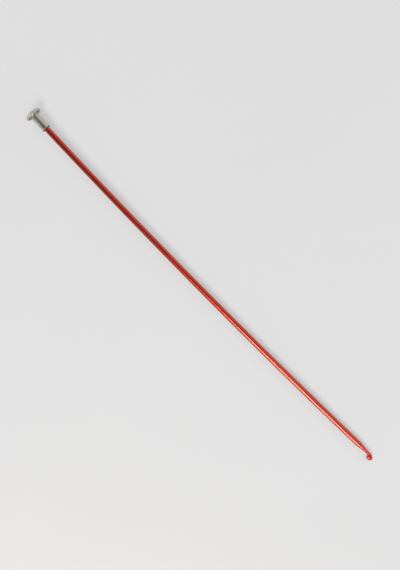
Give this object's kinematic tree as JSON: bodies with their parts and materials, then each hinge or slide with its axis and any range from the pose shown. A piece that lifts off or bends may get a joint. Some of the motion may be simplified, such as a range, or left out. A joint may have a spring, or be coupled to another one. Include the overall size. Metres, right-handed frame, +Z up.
{
  "type": "tunisian crochet hook",
  "caption": "Long metal tunisian crochet hook: a slim red anodised rod with a rounded hook on one end and a bright domed end button on the other.",
  "frame": {"origin": "under the middle of the part, on the surface that it lies on", "axes": "+X along the shaft towards the hook, +Z up off the surface, and the lip of the hook turned to -Y"},
  "size_m": [0.3556, 0.0124, 0.0124],
  "materials": {
    "anodised_shaft": "glossy red anodised",
    "bright_button": "bright nickel plate"
  },
  "bodies": {
    "root": {"hook_shaft": "anodised_shaft", "end_ferrule": "bright_button", "button_cap": "bright_button"}
  },
  "joints": []
}
